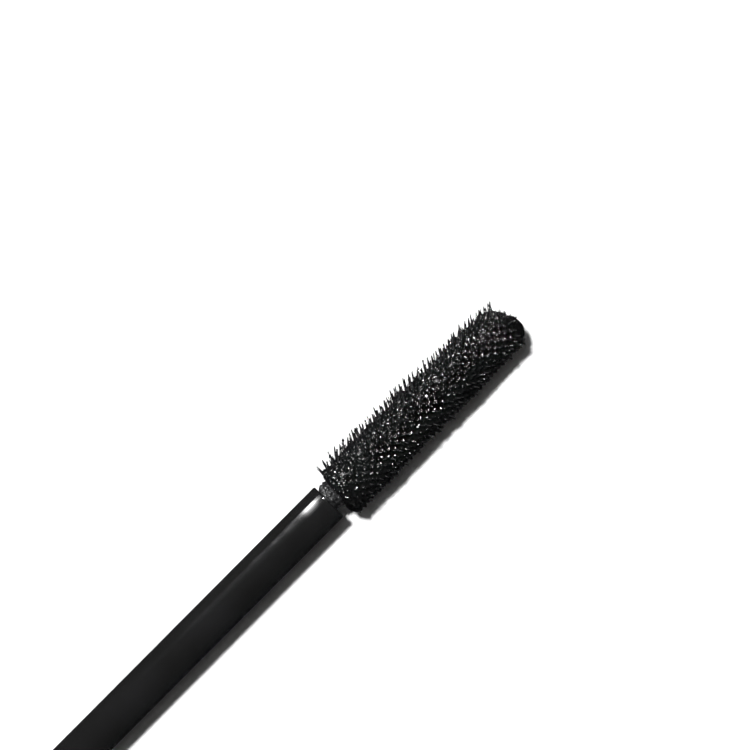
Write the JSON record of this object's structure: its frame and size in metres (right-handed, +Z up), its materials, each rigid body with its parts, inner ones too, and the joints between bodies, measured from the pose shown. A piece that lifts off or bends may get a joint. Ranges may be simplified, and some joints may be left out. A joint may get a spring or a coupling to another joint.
{
  "type": "mascara tube",
  "caption": "Mascara pack: threaded faceted bottle with wiper, and a screw cap carrying a rod and a soft moulded brush.",
  "frame": {"origin": "under the middle of the whole length at rest, on the surface that the cap and the bottle lie on", "axes": "+X along the common axis from the cap towards the base of the bottle, +Z up"},
  "size_m": [0.266, 0.017, 0.017],
  "materials": {
    "cap_gloss": "injection moulded, piano-gloss black",
    "trim_metal": "spun satin anodised",
    "weight_steel": "turned",
    "liner_plastic": "moulded, fine texture",
    "washer_foam": "closed-cell foam",
    "rod_gloss": "moulded, smooth gloss black",
    "brush_plastic": "moulded, black",
    "bristle_rubber": "soft moulded bristles, wet with mascara",
    "mascara_wet": "wet cream, high gloss",
    "vial_plastic": "moulded black, semi-gloss",
    "wiper_rubber": "natural elastomer",
    "mascara_bulk": "wet cream",
    "sleeve_gloss": "injection moulded, piano-gloss black",
    "plug_gloss": "moulded, gloss black",
    "label_paper": "blank satin sticker"
  },
  "bodies": {
    "tube": {"vial": "vial_plastic", "wiper": "wiper_rubber", "mascara_bulk": "mascara_bulk", "outer_sleeve": "sleeve_gloss", "collar_ring": "trim_metal", "base_plug": "plug_gloss", "shade_label": "label_paper"},
    "seal_washer": {"seal_washer": "washer_foam"},
    "applicator": {"cap_shell": "cap_gloss", "cap_end_disc": "trim_metal", "cap_weight": "weight_steel", "inner_cap": "liner_plastic", "rod": "rod_gloss", "brush_core": "brush_plastic", "bristle_sleeve": "bristle_rubber", "brush_product": "mascara_wet"}
  },
  "joints": [
    {"name": "wand_slide", "type": "slide", "parent": "tube", "child": "seal_washer", "axis": [1, 0, 0], "range_m": [0, 0.132], "deforming": ["wiper"]},
    {"name": "cap_turn", "type": "hinge", "parent": "seal_washer", "child": "applicator", "pos_m": [-0.081, 0, 0.0085], "axis": [1, 0, 0], "range_deg": [0, 7920]}
  ],
  "couplings": [
    {"joint": "cap_turn", "follows": "wand_slide", "rad_per_m": 1047.2}
  ]
}
